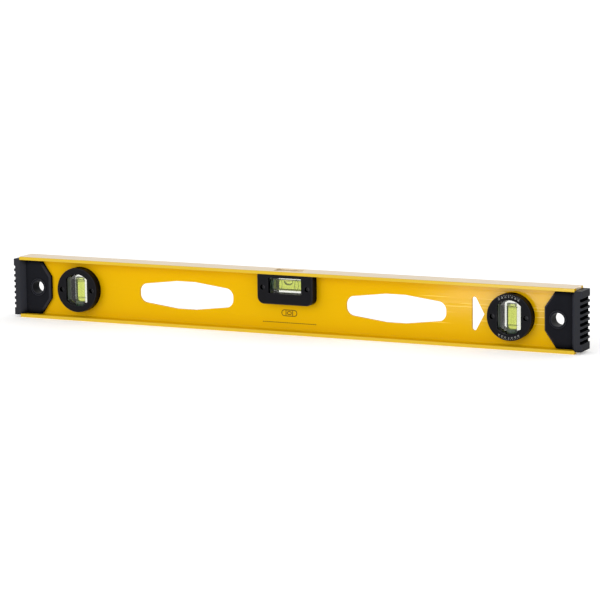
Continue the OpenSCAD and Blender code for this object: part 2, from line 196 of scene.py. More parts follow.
def blend(tree, factor, a, b):
    """Colour a where the factor is 0, and b where it is 1."""
    node = add(tree, "Mix", {"data_type": "RGBA"})
    set_inputs(node, tree, {0: factor, 6: a, 7: b})
    return node.outputs[2]


def blend_numbers(tree, factor, a, b):
    """Number a where the factor is 0, and b where it is 1."""
    node = add(tree, "Mix", {"data_type": "FLOAT"})
    set_inputs(node, tree, {0: factor, 2: a, 3: b})
    return node.outputs[0]


def bump(tree, height, distance, normal=None):
    node = add(tree, "Bump", Height=height, Distance=distance, Strength=1.0)
    if normal is not None:
        tree.links.new(normal, node.inputs["Normal"])
    return node.outputs[0]


def rounded_edges(tree, radius):
    return add(tree, "Bevel", {"samples": 6}, Radius=radius).outputs[0]


def edge_mask(tree, rounded):
    """1 along sharp edges, where the rounded normal leaves the true one."""
    true = add(tree, "NewGeometry").outputs["Normal"]
    dot = add(tree, "VectorMath", {"operation": "DOT_PRODUCT"})
    set_inputs(dot, tree, {0: true, 1: rounded})
    return between(tree, dot.outputs["Value"], low=0.98, high=0.8)


def varied_material(name, colours, colour_scale, roughness, roughness_scale, **inputs):
    """A material whose colour and roughness each follow a noise of their own between two values."""
    material, tree, shader = new_material(name, **inputs)
    set_inputs(shader, tree, {
        "Base Color": blend(tree, noise(tree, colour_scale), *colours),
        "Roughness": varied(tree, noise(tree, roughness_scale), *roughness),
    })
    return material, tree, shader


# The beam's paint

YELLOW = (0.74, 0.432, 0.0, 1)
YELLOW_DEEP = (0.72, 0.412, 0.0, 1)
YELLOW_RIM_LIT = (0.68, 0.455, 0.035, 1)  # on the flanges' outer edges: a painted light tone, paler than the web's yellow, for how light falls on the rounded rims
YELLOW_THIN = (0.9, 0.6, 0.12, 1)  # where an edge is worn
PAINT_SPECULAR = 0.04
CLOUD_SHARE = 0.55  # of the change from yellow to deep yellow that comes from broad clouds
LINE_SHARE = 0.3  # and from the die lines
RIM_FROM = 11.6 * MM  # from the web's middle
RIM_FULL = 11.8 * MM
PAINT_EDGE = 0.35 * MM
SATIN = (0.14, 0.19)  # roughness
CLOUD_NOISE = {"scale": 9, "stretch": (1, 1, 2.5)}
DIE_LINE_NOISE = {"scale": 1700, "stretch": (0.004, 0.3, 1), "detail": 2}
DIE_LINE_HEIGHT = 0.01 * MM
PEEL_NOISE = {"scale": 750, "detail": 1}
PEEL_HEIGHT = 0.012 * MM
SCORE_NOISE = {"scale": 230, "stretch": (0.006, 0.3, 1), "detail": 1}
SCORED_RANGE = (0.6, 0.66)  # of that noise
SCORE_HEIGHT = 0.05 * MM
SATIN_NOISE = {"scale": 60}
WEAR_NOISE = {"scale": 260}
WEAR_RANGE = (0.42, 0.62)  # of that noise
LEAST_WEAR = 0.15
MOST_WEAR = 0.8

BARE_METAL = (0.95, 0.80, 0.58, 1)
BARE_METAL_DEEP = (0.88, 0.735, 0.53, 1)
BRUSHED = (0.28, 0.4)  # roughness
CUTTER_NOISE = {"scale": 5200, "stretch": (0.012, 1, 1), "detail": 2}
CUTTER_HEIGHT = 0.006 * MM
MILLED_DEPTH = 0.12 * MM
SLOT_REACH = 6.7 * MM  # from the web's middle to just past the reading slot's walls
SLOT_DEPTH = 3.3 * MM  # how far down the slot's walls are bare

# Painted highlights: bright streaks near the dial, standing in for the extrusion's ridges catching the sheen
# lamp's light
STREAK_HIGHLIGHT = (1.0, 0.72, 0.12, 1)
STREAK_HEIGHTS = (20.5, 24.5, 31.2, 37.0, 40.0, 45.5)  # in millimetres above the lower working face
STREAKS_FROM = 118.0 * MM  # the lines fade in to the right of this place
STREAK_FADE = 30.0 * MM
STREAK_CORE = 0.1 * MM
STREAK_REACH = 0.38 * MM
STREAK_NOISE = {"scale": 60, "stretch": (0.4, 1, 6), "detail": 1}
STREAK_RANGE = (0.44, 0.58)  # of that noise
STREAK_SHARE = 0.85


def burnished_lines(tree):
    """Fine lengthwise painted highlights near the dial, which stand in for ridges of the extrusion catching
    the light.
    """
    at = parts_of(tree, place(tree))
    lines = 0.0
    for height in STREAK_HEIGHTS:
        off = distance_from(tree, at["Z"], height * MM)
        line = between(tree, off, STREAK_CORE, STREAK_REACH, to_low=1.0, to_high=0.0)
        lines = calculate(tree, "MAXIMUM", lines, line)
    broken = between(tree, noise(tree, **STREAK_NOISE), *STREAK_RANGE, to_high=STREAK_SHARE)
    reached = between(tree, at["X"], STREAKS_FROM, STREAKS_FROM + STREAK_FADE)
    return product(tree, lines, product(tree, broken, reached))


def milled_mask(tree, from_middle, from_web, half_height):
    """1 on the two milled working faces and on the reading slot's walls."""
    milled = calculate(tree, "GREATER_THAN", from_middle, half_height - MILLED_DEPTH)
    near_web = calculate(tree, "LESS_THAN", from_web, SLOT_REACH)
    in_flange = calculate(tree, "GREATER_THAN", from_middle, half_height - SLOT_DEPTH)
    return calculate(tree, "MAXIMUM", milled, product(tree, near_web, in_flange))


def paint_colour(tree, lines, from_web, rounded):
    """Yellow with soft clouds and lines, a painted light tone on the flanges' rims, painted bright streak
    highlights beside the dial, and worn thin along its edges.
    """
    clouds = varied(tree, noise(tree, **CLOUD_NOISE))
    deep = calculate(tree, "ADD", product(tree, clouds, CLOUD_SHARE), varied(tree, lines, high=LINE_SHARE))
    # Painted light: the flanges' rims get a paler tone for how light falls on them
    rim_lit = blend(tree, between(tree, from_web, RIM_FROM, RIM_FULL),
                   blend(tree, deep, YELLOW, YELLOW_DEEP), YELLOW_RIM_LIT)
    # Painted highlights: the bright streaks beside the dial are blended into the colour
    streak_lit = blend(tree, burnished_lines(tree), rim_lit, STREAK_HIGHLIGHT)
    wear = between(tree, noise(tree, **WEAR_NOISE), *WEAR_RANGE, LEAST_WEAR, MOST_WEAR)
    return blend(tree, product(tree, edge_mask(tree, rounded), wear), streak_lit, YELLOW_THIN)


def paint_material():
    """Yellow paint over an extrusion's die lines, and bare metal where the extrusion is milled."""
    material, tree, shader = new_material("beam_paint", Specular_IOR_Level=PAINT_SPECULAR)
    low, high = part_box("beam")
    at = parts_of(tree, place(tree))
    from_middle = distance_from(tree, at["Z"], (low.z + high.z) / 2)
    from_web = calculate(tree, "ABSOLUTE", at["Y"])
    milled = milled_mask(tree, from_middle, from_web, (high.z - low.z) / 2)
    rounded = rounded_edges(tree, PAINT_EDGE)

    lines = noise(tree, **DIE_LINE_NOISE)
    cutter = noise(tree, **CUTTER_NOISE)
    scores = between(tree, noise(tree, **SCORE_NOISE), *SCORED_RANGE)

    bare = blend(tree, varied(tree, cutter), BARE_METAL, BARE_METAL_DEEP)
    satin = varied(tree, noise(tree, **SATIN_NOISE), *SATIN)
    brushed = varied(tree, cutter, *BRUSHED)
    peeled = bump(tree, noise(tree, **PEEL_NOISE), PEEL_HEIGHT, rounded)
    drawn = bump(tree, lines, DIE_LINE_HEIGHT, peeled)
    scored = bump(tree, scores, SCORE_HEIGHT, drawn)
    set_inputs(shader, tree, {
        "Base Color": blend(tree, milled, paint_colour(tree, lines, from_web, rounded), bare),
        "Metallic": milled,
        "Roughness": blend_numbers(tree, milled, satin, brushed),
        "Normal": bump(tree, cutter, CUTTER_HEIGHT, scored),
    })
    return material


# Plastic of the end caps and housings

# In both plastics the edge colour is partly wear and partly a painted edge highlight, and the bevel colour is
# a painted highlight
CAP_PLASTIC = {
    "colour": (0.003, 0.0035, 0.007, 1),
    "edge_wear_and_highlight_colour": (0.05, 0.055, 0.066, 1),
    "bevel_highlight_colour": (0.034, 0.036, 0.046, 1),
    "scuffed_colour": (0.022, 0.023, 0.028, 1),
    "roughness": 0.42,
    "grain": 0.02 * MM,
}
HOUSING_PLASTIC = {
    "colour": (0.004, 0.004, 0.006, 1),
    "edge_wear_and_highlight_colour": (0.08, 0.08, 0.09, 1),
    "bevel_highlight_colour": (0.018, 0.018, 0.023, 1),
    "scuffed_colour": (0.005, 0.005, 0.0075, 1),
    "roughness": 0.32,
    "grain": 0.008 * MM,
}
SHADE_BLACK = (0, 0, 0, 1)
PLASTIC_EDGE = 0.45 * MM
PLASTIC_SPECULAR = 0.09
ROUGHNESS_SPREAD = 0.06
MOTTLE_SHADE = 0.78  # how dark the darker spots are beside the colour
MOTTLE_NOISE = {"scale": 130}
GRAIN_NOISE = {"scale": 2600, "detail": 2}
COARSE_NOISE = {"scale": 900, "detail": 2}
COARSE_SHARE = 1.5  # how high the coarse grain is beside the fine one
EDGE_MARK_NOISE = {"scale": 420}
EDGE_MARK_RANGE = (0.35, 0.65)  # of that noise
LEAST_EDGE_MARK = 0.3
BEVEL_FROM = (0.3, 0.45)  # how much a face looks to the front or rear where a bevel begins
BEVEL_TO = (0.95, 0.85)  # and where it ends
END_FACING = (0.3, 0.9)  # how much a face looks along the beam where it turns duller
END_GLOSS = 0.25  # how much gloss is left there
END_SCUFFS = 0.35  # and how much of the scuffing
# Painted shade in recesses, from ambient occlusion
RECESS_REACH = 7.0 * MM
RECESS_RANGE = (0.55, 0.92)  # of the share of open air over a point
RECESS_SHADE = 0.1  # how much of the colour is left in the deepest recesses
SCUFFED_LENGTH = 8.0 * MM  # from each end of the level
SCUFFED_FADE = 1.0 * MM
TOOTH_TIP = 0.7 * MM  # the teeth's tips are kept out of the painted shade to this depth
TOOTH_DEPTH = 2.1 * MM
TOOTHED_HALF = 21.2 * MM  # how far the gaps between the teeth go above and below the middle
GAP_FACING = 0.5  # a gap's faces look to the front or rear by less than this


def tooth_gap_mask(tree, from_end, from_middle, facing_front):
    """1 in the gaps between the buffers' teeth."""
    return product(
        tree, 1.0,
        calculate(tree, "GREATER_THAN", from_end, TOOTH_TIP),
        calculate(tree, "LESS_THAN", from_end, TOOTH_DEPTH),
        calculate(tree, "LESS_THAN", from_middle, TOOTHED_HALF),
        calculate(tree, "LESS_THAN", facing_front, GAP_FACING),
    )


def plastic_material(name, colour, edge_wear_and_highlight_colour, bevel_highlight_colour, scuffed_colour, roughness, grain):
    """Moulded plastic with a fine spark-eroded grain of the given depth.

    It is lighter along its edges, where wear and a painted edge highlight both show, and on its bevels, where
    a painted highlight stands for the light they catch; it is scuffed at the level's ends, duller on the
    faces that look along the beam, and darkened by painted shade in its recesses and between the buffers'
    teeth.
    """
    material, tree, shader = new_material(name)
    at = parts_of(tree, place(tree))
    facing = parts_of(tree, add(tree, "NewGeometry").outputs["True Normal"])
    from_end = calculate(tree, "SUBTRACT", cad_box[1].x, calculate(tree, "ABSOLUTE", at["X"]))
    facing_front = calculate(tree, "ABSOLUTE", facing["Y"])
    facing_end = calculate(tree, "ABSOLUTE", facing["X"])
    rounded = rounded_edges(tree, PLASTIC_EDGE)

    # Painted shade: ambient occlusion and the gaps between the buffers' teeth darken the colour and dim the
    # gloss
    occlusion = add(tree, "AmbientOcclusion", {"samples": 8}, Distance=RECESS_REACH).outputs["AO"]
    gap = tooth_gap_mask(tree, from_end, distance_from(tree, at["Z"], cad_middle.z), facing_front)
    out_of_gap = between(tree, gap, low=0.0, high=1.0, to_low=1.0, to_high=0.0)
    unshaded = product(tree, between(tree, occlusion, *RECESS_RANGE), out_of_gap)
    glossy = product(tree, unshaded, between(tree, facing_end, *END_FACING, to_low=1.0, to_high=END_GLOSS))

    # Painted highlight: faces that look partly to the front or rear, the bevels, get a lighter colour for the
    # light they catch
    lit_bevels = product(tree, between(tree, facing_front, *BEVEL_FROM), between(tree, facing_front, *BEVEL_TO))
    scuffed = product(tree, between(tree, from_end, SCUFFED_LENGTH, SCUFFED_LENGTH - SCUFFED_FADE),
                      between(tree, facing_end, *END_FACING, to_low=1.0, to_high=END_SCUFFS))
    edge_wear_and_highlight = between(tree, noise(tree, **EDGE_MARK_NOISE), *EDGE_MARK_RANGE, to_low=LEAST_EDGE_MARK)
    # Lighter edges: partly wear, partly a painted edge highlight
    worn_and_highlit_edges = product(tree, edge_mask(tree, rounded), edge_wear_and_highlight, out_of_gap)

    darker = tuple(part * MOTTLE_SHADE for part in colour[:3]) + (1,)
    mottled = blend(tree, varied(tree, noise(tree, **MOTTLE_NOISE)), colour, darker)
    scuffed_and_bevel_lit = blend(tree, lit_bevels, blend(tree, scuffed, mottled, scuffed_colour), bevel_highlight_colour)
    # Painted shade: recesses and tooth gaps are blended towards black
    shade_painted = blend(tree, between(tree, unshaded, low=0.0, high=1.0, to_low=RECESS_SHADE), SHADE_BLACK, scuffed_and_bevel_lit)

    spots = noise(tree, **GRAIN_NOISE)
    coarse = bump(tree, noise(tree, **COARSE_NOISE), grain * COARSE_SHARE, rounded)
    set_inputs(shader, tree, {
        "Base Color": blend(tree, worn_and_highlit_edges, shade_painted, edge_wear_and_highlight_colour),
        "Specular IOR Level": between(tree, glossy, low=0.0, high=1.0, to_high=PLASTIC_SPECULAR),
        "Roughness": varied(tree, spots, roughness - ROUGHNESS_SPREAD, roughness + ROUGHNESS_SPREAD),
        "Normal": bump(tree, spots, grain, coarse),
    })
    return material


# The vials' materials

ACRYLIC = (0.72, 0.735, 0.68, 1)
ACRYLIC_IOR = 1.49
# Painted reflection: the blocks' sides are grey to stand in for the dark housing wall reflected in them
SIDE_SHADE_GREY = (0.34, 0.40, 0.45, 1)
SIDE_SHADE_GREY_PALE = (0.5, 0.56, 0.6, 1)
LIQUID = (0.78, 0.82, 0.23, 1)
LIQUID_DEPTH = (0.78, 0.86, 0.22, 1)
LIQUID_DENSITY = 60.0
LIQUID_IOR = 0.92  # beside the acrylic round it
LIQUID_GLOW = (0.55, 0.75, 0.05, 1)
LIQUID_GLOW_STRENGTH = 0.02
WHITE = (1, 1, 1, 1)
BUBBLE_IOR = 0.74  # beside the liquid round it
BUBBLE_GLOW = (0.9, 0.95, 0.6, 1)
BUBBLE_GLOW_STRENGTH = 0.12
GAUGE_INK = (0.06, 0.10, 0.03, 1)
GAUGE_INK_PALE = (0.10, 0.15, 0.05, 1)
PLUG_GREEN = (0.12, 0.20, 0.14, 1)
PLUG_GREEN_PALE = (0.18, 0.27, 0.20, 1)


def acrylic_material():
    material, tree, shader = new_material(
        "clear_acrylic", Base_Color=ACRYLIC, Transmission_Weight=1.0, IOR=ACRYLIC_IOR)
    set_inputs(shader, tree, {"Roughness": varied(tree, noise(tree, scale=300), low=0.0, high=0.03)})
    return material


def acrylic_side_material():
    """The blocks' left and right sides, which are dull, with a painted grey that stands in for the dark
    reflections seen in them.
    """
    material, tree, shader = new_material("acrylic_side", Specular_IOR_Level=0.3)
    set_inputs(shader, tree, {
        "Base Color": blend(tree, noise(tree, scale=900, stretch=(1, 1, 0.08)), SIDE_SHADE_GREY, SIDE_SHADE_GREY_PALE),
        "Roughness": varied(tree, noise(tree, scale=1500), low=0.4, high=0.6),
    })
    return material


def liquid_material():
    material, tree, shader = new_material(
        "spirit_fill", Base_Color=LIQUID, Transmission_Weight=1.0, Roughness=0.0, IOR=LIQUID_IOR,
        Emission_Color=LIQUID_GLOW, Emission_Strength=LIQUID_GLOW_STRENGTH)
    absorption = add(tree, "VolumeAbsorption", Color=LIQUID_DEPTH, Density=LIQUID_DENSITY)
    tree.links.new(absorption.outputs[0], tree.nodes["Material Output"].inputs["Volume"])
    return material


def bubble_material():
    return new_material(
        "bubble_air", Base_Color=WHITE, Transmission_Weight=1.0, Roughness=0.0, IOR=BUBBLE_IOR,
        Emission_Color=BUBBLE_GLOW, Emission_Strength=BUBBLE_GLOW_STRENGTH)[0]


def ring_material():
    return varied_material(
        "gauge_mark", (GAUGE_INK, GAUGE_INK_PALE), colour_scale=2000, roughness=(0.45, 0.6),
        roughness_scale=900, Specular_IOR_Level=0.3)[0]


def plug_material():
    return varied_material(
        "vial_plug", (PLUG_GREEN, PLUG_GREEN_PALE), colour_scale=700, roughness=(0.4, 0.55),
        roughness_scale=900, Subsurface_Weight=0.3, Subsurface_Scale=1.5 * MM)[0]


# Screws and print

SCREW_BLACK = (0.03, 0.03, 0.034, 1)
SCREW_BLACK_PALE = (0.07, 0.07, 0.075, 1)
SCREW_EDGE = 0.12 * MM
SCREW_GRAIN = 0.01 * MM
DIAL_INK = (0.42, 0.42, 0.41, 1)
DIAL_INK_PALE = (0.56, 0.56, 0.54, 1)
WEB_INK = (0.02, 0.008, 0.002, 1)
WEB_INK_THIN = (0.09, 0.045, 0.006, 1)


def screw_material():
    """Blackened steel with a fine grain and slightly rounded edges."""
    material, tree, shader = varied_material(
        "screw_steel", (SCREW_BLACK, SCREW_BLACK_PALE), colour_scale=1200, roughness=(0.28, 0.46),
        roughness_scale=2500, Metallic=1.0)
    grain = bump(tree, noise(tree, scale=4000), SCREW_GRAIN, rounded_edges(tree, SCREW_EDGE))
    set_inputs(shader, tree, {"Normal": grain})
    return material


def dial_print_material():
    return varied_material(
        "dial_print", (DIAL_INK, DIAL_INK_PALE), colour_scale=1800, roughness=(0.5, 0.7),
        roughness_scale=2500, Specular_IOR_Level=0.25)[0]


def web_print_material():
    """Dark ink, rubbed thin in places."""
    material, tree, shader = new_material("web_print", Specular_IOR_Level=0.1)
    scuffed_and_bevel_lit = between(tree, noise(tree, scale=1400), low=0.35, high=0.7)
    set_inputs(shader, tree, {
        "Base Color": blend(tree, scuffed_and_bevel_lit, WEB_INK, WEB_INK_THIN),
        "Roughness": varied(tree, noise(tree, scale=2500), low=0.5, high=0.7),
    })
    return material


# Studio

FLOOR_REACH = 60.0
FLOOR_DROP = 0.05 * MM
FLOOR_PALE = (0.93, 0.93, 0.93, 1)
FLOOR_PALER = (0.95, 0.95, 0.95, 1)
FLOOR_GLOW = 0.32
HORIZON_STRENGTH = 1.0
OVERHEAD_STRENGTH = 0.62
OVERHEAD_FROM = 0.7  # the sine of the elevation from which the surround is as dim as overhead
SUN_DISTANCE = 3.0
KEY_FROM = Vector((-0.35, -0.9, 0.3))
KEY_STRENGTH = 1.08
KEY_SPREAD = math.radians(50)
FILL_FROM = Vector((0.5, 0.9, 0.7))
FILL_STRENGTH = 0.5
FILL_SPREAD = math.radians(70)
SHEEN_RADIANCE = 40.0
SHEEN_WIDTH = 0.17
SHEEN_DEPTH = 0.20
SHEEN_PLACE = Vector((0.14, -0.285, 0.002))
DOWN = Vector((0, 0, -1))


def light(name, kind, direction, location, strength, **settings):
    """A lamp that shines against a direction, which points from the lit side to the lamp."""
    data = bpy.data.lights.new(name, kind)
    data.energy = strength
    for key, value in settings.items():
        setattr(data, key, value)
    lamp = bpy.data.objects.new(name, data)
    lamp.location = location
    lamp.rotation_euler = direction.to_track_quat("Z", "Y").to_euler()
    bpy.context.scene.collection.objects.link(lamp)
    return lamp


def make_sun(name, direction, strength, spread):
    light(name, "SUN", direction, direction.normalized() * SUN_DISTANCE, strength, angle=spread)


def make_sheen():
    """A lamp low in front of the beam that faces up, lights nothing but the beam and shows only as gloss."""
    strength = SHEEN_RADIANCE * math.pi * SHEEN_WIDTH * SHEEN_DEPTH
    sheen = light("sheen", "AREA", DOWN, SHEEN_PLACE, strength,
                  shape="RECTANGLE", size=SHEEN_WIDTH, size_y=SHEEN_DEPTH)
    sheen.visible_camera = False
    sheen.visible_diffuse = False
    receivers = bpy.data.collections.new("sheen_receivers")
    receivers.objects.link(nodes["beam"])
    sheen.light_linking.receiver_collection = receivers


def make_world():
    """A white surround that is brightest at the horizon."""
    world = bpy.data.worlds.new("studio")
    bpy.context.scene.world = world
    world.use_nodes = True
    tree = world.node_tree
    height = parts_of(tree, add(tree, "TexCoord").outputs["Generated"])["Z"]
    strength = between(tree, height, 0.0, OVERHEAD_FROM, HORIZON_STRENGTH, OVERHEAD_STRENGTH)
    set_inputs(tree.nodes["Background"], tree, {"Color": WHITE, "Strength": strength})


def floor_material():
    material, tree, shader = new_material(
        "floor", Roughness=0.85, Specular_IOR_Level=0.1, Emission_Color=WHITE, Emission_Strength=FLOOR_GLOW)
    set_inputs(shader, tree, {"Base Color": blend(tree, noise(tree, scale=3), FLOOR_PALE, FLOOR_PALER)})
    return material


def make_floor():
    mesh = bpy.data.meshes.new("floor")
    corners = [(x * FLOOR_REACH, y * FLOOR_REACH, 0) for x, y in ((-1, -1), (1, -1), (1, 1), (-1, 1))]
    mesh.from_pydata(corners, [], [(0, 1, 2, 3)])
    mesh.materials.append(floor_material())
    floor = bpy.data.objects.new("floor", mesh)
    floor.location.z = cad_box[0].z - FLOOR_DROP
    bpy.context.scene.collection.objects.link(floor)


def make_studio():
    bpy.context.scene.view_settings.view_transform = "Standard"
    make_world()
    make_floor()
    make_sun("key", KEY_FROM, KEY_STRENGTH, KEY_SPREAD)
    make_sun("fill", FILL_FROM, FILL_STRENGTH, FILL_SPREAD)
    make_sheen()


# Pieces

ROUND_ANGLE = math.radians(60)  # a lathed surface is smooth across edges up to this angle
BLOCK_ANGLE = math.radians(30)


def piece(name, mesh_data, body, slot, *materials):
    """A new piece that rides on a CAD body."""
    for material in materials:
        mesh_data.materials.append(material)
    thing = bpy.data.objects.new(name, mesh_data)
    bpy.context.scene.collection.objects.link(thing)
    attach(thing, body)
    return thing


def mesh_of(name, mesh):
    """Turns a bmesh into mesh data with its normals outward."""
    bmesh.ops.recalc_face_normals(mesh, faces=mesh.faces)
    data = bpy.data.meshes.new(name)
    mesh.to_mesh(data)
    mesh.free()
    return data


def smooth_mesh_of(name, mesh, angle):
    """The same, with smooth shading that breaks at edges sharper than the angle."""
    data = mesh_of(name, mesh)
    for polygon in data.polygons:
        polygon.use_smooth = True
    data.set_sharp_from_angle(angle=angle)
    return data


def ring_points(along, radius, segments):
    """A ring round the Z axis, or a single point where its radius is 0."""
    if radius <= 0:
        return [Vector((0, 0, along))]
    turns = [2 * math.pi * i / segments for i in range(segments)]
    return [Vector((radius * math.cos(turn), radius * math.sin(turn), along)) for turn in turns]


def lathed(name, profile, middle, along_x, segments=72):
    """A closed surface turned about its own axis. The profile's points are (place along the axis, radius)."""
    mesh = bmesh.new()
    turn = Matrix.Rotation(math.pi / 2, 3, "Y") if along_x else Matrix.Identity(3)
    rings = [
        [mesh.verts.new(middle + turn @ point) for point in ring_points(along, radius, segments)]
        for along, radius in profile
    ]
    for low, high in zip(rings, rings[1:]):
        for i in range(segments):
            j = (i + 1) % segments
            corners = [low[i % len(low)], low[j % len(low)], high[j % len(high)], high[i % len(high)]]
            mesh.faces.new(sorted(set(corners), key=corners.index))
    return smooth_mesh_of(name, mesh, ROUND_ANGLE)


def arc(along, radius, reach, start, end, steps=8):
    """Points of a quarter round in a profile, from one angle to another, in degrees from the axis."""
    angles = [math.radians(start + (end - start) * i / steps) for i in range(steps + 1)]
    return [(along + reach * math.cos(angle), radius + reach * math.sin(angle)) for angle in angles]


# Vials

BORE_BARREL = 0.02  # how much narrower the bore is at its ends, as a share of its radius
BORE_FILLET = 0.8 * MM
BORE_STEPS = 8  # from the bore's middle to the start of its fillet
BUBBLE_WIDTH = 8.2 * MM
BUBBLE_FULLNESS = 1.35  # the height of the whole ellipsoid, as a share of the flattened bubble's
BUBBLE_GAP = 0.12 * MM
BUBBLE_TOP_ROUND = 1.2 * MM
BUBBLE_FOOT_ROUND = 1.6 * MM
BLOCK_EDGE = 0.5 * MM
BLOCK_GAP = 0.02 * MM
BLOCK_ARC_STEPS = 12  # from the top of a tall block's arc to its corner
EDGE_FROM = math.radians(35)  # sharper edges than this are rounded
SIDE_FROM = 0.95  # a face that looks this much along X is a side, which is dull and painted grey


def bore_profile(half, radius):
    """A bore that is widest in its middle, as a vial's is, so that its bubble finds the top."""
    straight = half - BORE_FILLET
    fractions = [1 - i / BORE_STEPS for i in range(1, 2 * BORE_STEPS)]
    wall = [(straight * part, radius * (1 - BORE_BARREL * part ** 2)) for part in fractions]
    end = radius * (1 - BORE_BARREL) - BORE_FILLET
    first = arc(straight, end, BORE_FILLET, 0, 90)
    last = arc(-straight, end, BORE_FILLET, 90, 180)
    return [(half, 0)] + first + wall + last + [(-half, 0)]


def settled_profile(half, radius):
    """A bubble that fills its bore: a tight round at its upper end, and a wider one above the liquid."""
    top, foot = BUBBLE_TOP_ROUND, BUBBLE_FOOT_ROUND
    first = arc(half - top, radius - top, top, 0, 90)
    last = arc(foot - half, radius - foot, foot, 90, 180)
    return [(half, 0)] + first + last + [(-half, 0)]


def hanging_bubble(name, low, high, bore_middle, bore_radius):
    """A bubble under the top of a bore along X: an ellipsoid, flattened where it meets the bore's wall."""
    mesh = bmesh.new()
    bmesh.ops.create_uvsphere(mesh, u_segments=64, v_segments=40, radius=1)
    half = (high - low) / 2
    reach = Vector((half.x, BUBBLE_WIDTH / 2, half.z * BUBBLE_FULLNESS))
    middle = Vector((low.x + half.x, 0, low.z + reach.z))
    for vert in mesh.verts:
        at = middle + Vector(a * b for a, b in zip(reach, vert.co))
        across = Vector((0, at.y, at.z - bore_middle.z))
        if across.length > bore_radius:
            across *= bore_radius / across.length
        vert.co = Vector((at.x, across.y, bore_middle.z + across.z))
    return smooth_mesh_of(name, mesh, ROUND_ANGLE)


def block_outline(low, high):
    """The outline of a vial block seen from the front: round above and below if it is taller than wide."""
    width, height = (high.x - low.x) / 2, (high.z - low.z) / 2
    if width > height:
        return [(-width, -height), (width, -height), (width, height), (-width, height)]
    span = math.asin(width / height)
    angles = [span * (1 - i / BLOCK_ARC_STEPS) for i in range(2 * BLOCK_ARC_STEPS + 1)]
    upper = [(height * math.sin(angle), height * math.cos(angle)) for angle in angles]
    return upper + [(-x, -z) for x, z in upper]


def vial_block(name, node):
    """A cast acrylic block with polished faces, dull sides painted grey for the dark reflections seen in
    them, and rounded edges.
    """
    low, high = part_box(node)
    middle = (low + high) / 2
    half_depth = (high.y - low.y) / 2 - BLOCK_GAP
    mesh = bmesh.new()
    outline = block_outline(low, high)
    front = [mesh.verts.new((middle.x + x, middle.y - half_depth, middle.z + z)) for x, z in outline]
    face = mesh.faces.new(front)
    grown = bmesh.ops.extrude_face_region(mesh, geom=[face])
    for item in grown["geom"]:
        if isinstance(item, bmesh.types.BMVert):
            item.co.y += 2 * half_depth
    bmesh.ops.recalc_face_normals(mesh, faces=mesh.faces)
    sharp = [e for e in mesh.edges if len(e.link_faces) == 2 and e.calc_face_angle() > EDGE_FROM]
    bmesh.ops.bevel(mesh, geom=sharp, offset=BLOCK_EDGE, segments=3, profile=0.5, affect="EDGES")
    data = smooth_mesh_of(name, mesh, BLOCK_ANGLE)
    for polygon in data.polygons:
        polygon.material_index = int(abs(polygon.normal.x) > SIDE_FROM)
    return data


def make_vial(vial, body, bubble_body, materials):
    """The block, liquid and bubble of a vial, each closed and inside the one before."""
    along_x = vial == "center"
    block_mesh = vial_block(vial + "_block", vial + "_vial_block")
    block = piece(vial + "_block", block_mesh, body, "clear_acrylic", materials["acrylic"], materials["side"])
    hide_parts(vial + "_vial_block")

    low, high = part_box(vial + "_spirit")
    middle, half = (low + high) / 2, (high - low) / 2
    radius, reach = half.y, half.x if along_x else half.z
    liquid_mesh = lathed(vial + "_liquid", bore_profile(reach, radius), middle, along_x)
    liquid = piece(vial + "_liquid", liquid_mesh, body, "spirit_fill", materials["liquid"])
    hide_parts(vial + "_spirit")

    low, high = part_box(vial + "_bubble")
    inner = radius * (1 - BORE_BARREL) - BUBBLE_GAP / 2
    if along_x:
        air_mesh = hanging_bubble(vial + "_air", low, high, middle, inner)
    else:
        profile = settled_profile((high.z - low.z) / 2, inner)
        air_mesh = lathed(vial + "_air", profile, (low + high) / 2, False)
    air = piece(vial + "_air", air_mesh, bubble_body, "bubble_air", materials["air"])
    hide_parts(vial + "_bubble")


# Print, which stands a little proud of its face and starts a little below it

PRINT_PROUD = 0.03 * MM
PRINT_SUNK = 0.05 * MM
PRINT_THICK = PRINT_PROUD + PRINT_SUNK
PRINT_OUT = (PRINT_PROUD - PRINT_SUNK) / 2  # from the face out to the middle of the print's thickness
WELD_REACH = 0.001 * MM


def bar(mesh, width, height, middle, turn=Matrix.Identity(3)):
    """A bar of print at a place, turned about the origin."""
    size = Vector((width, PRINT_THICK, height))
    for vert in bmesh.ops.create_cube(mesh, size=1)["verts"]:
        vert.co = turn @ (Vector(a * b for a, b in zip(vert.co, size)) + Vector(middle))


def print_piece(name, mesh, facing, middle, face, body, material):
    """Puts print that is drawn round the origin on a front face (facing 1) or a rear one (-1)."""
    about = Matrix.Rotation(0 if facing > 0 else math.pi, 4, "Z")
    mesh.transform(Matrix.Translation(middle) @ about @ Matrix.Translation((0, -face, 0)))
    piece(name, mesh_of(name, mesh), body, "gauge_mark", material)


# Dial marks

DIAL_TICK_STEP = 5  # degrees
DIAL_NUMBER_STEP = 10
DIAL_LAST = 30
TICK_OUTER = 21.3 * MM  # from the dial's middle
TICK_LONG = 1.1 * MM
TICK_SHORT = 0.7 * MM
TICK_WIDTH = 0.2 * MM
NUMBER_RADIUS = 19.2 * MM
NUMBER_SIZE = 1.8 * MM


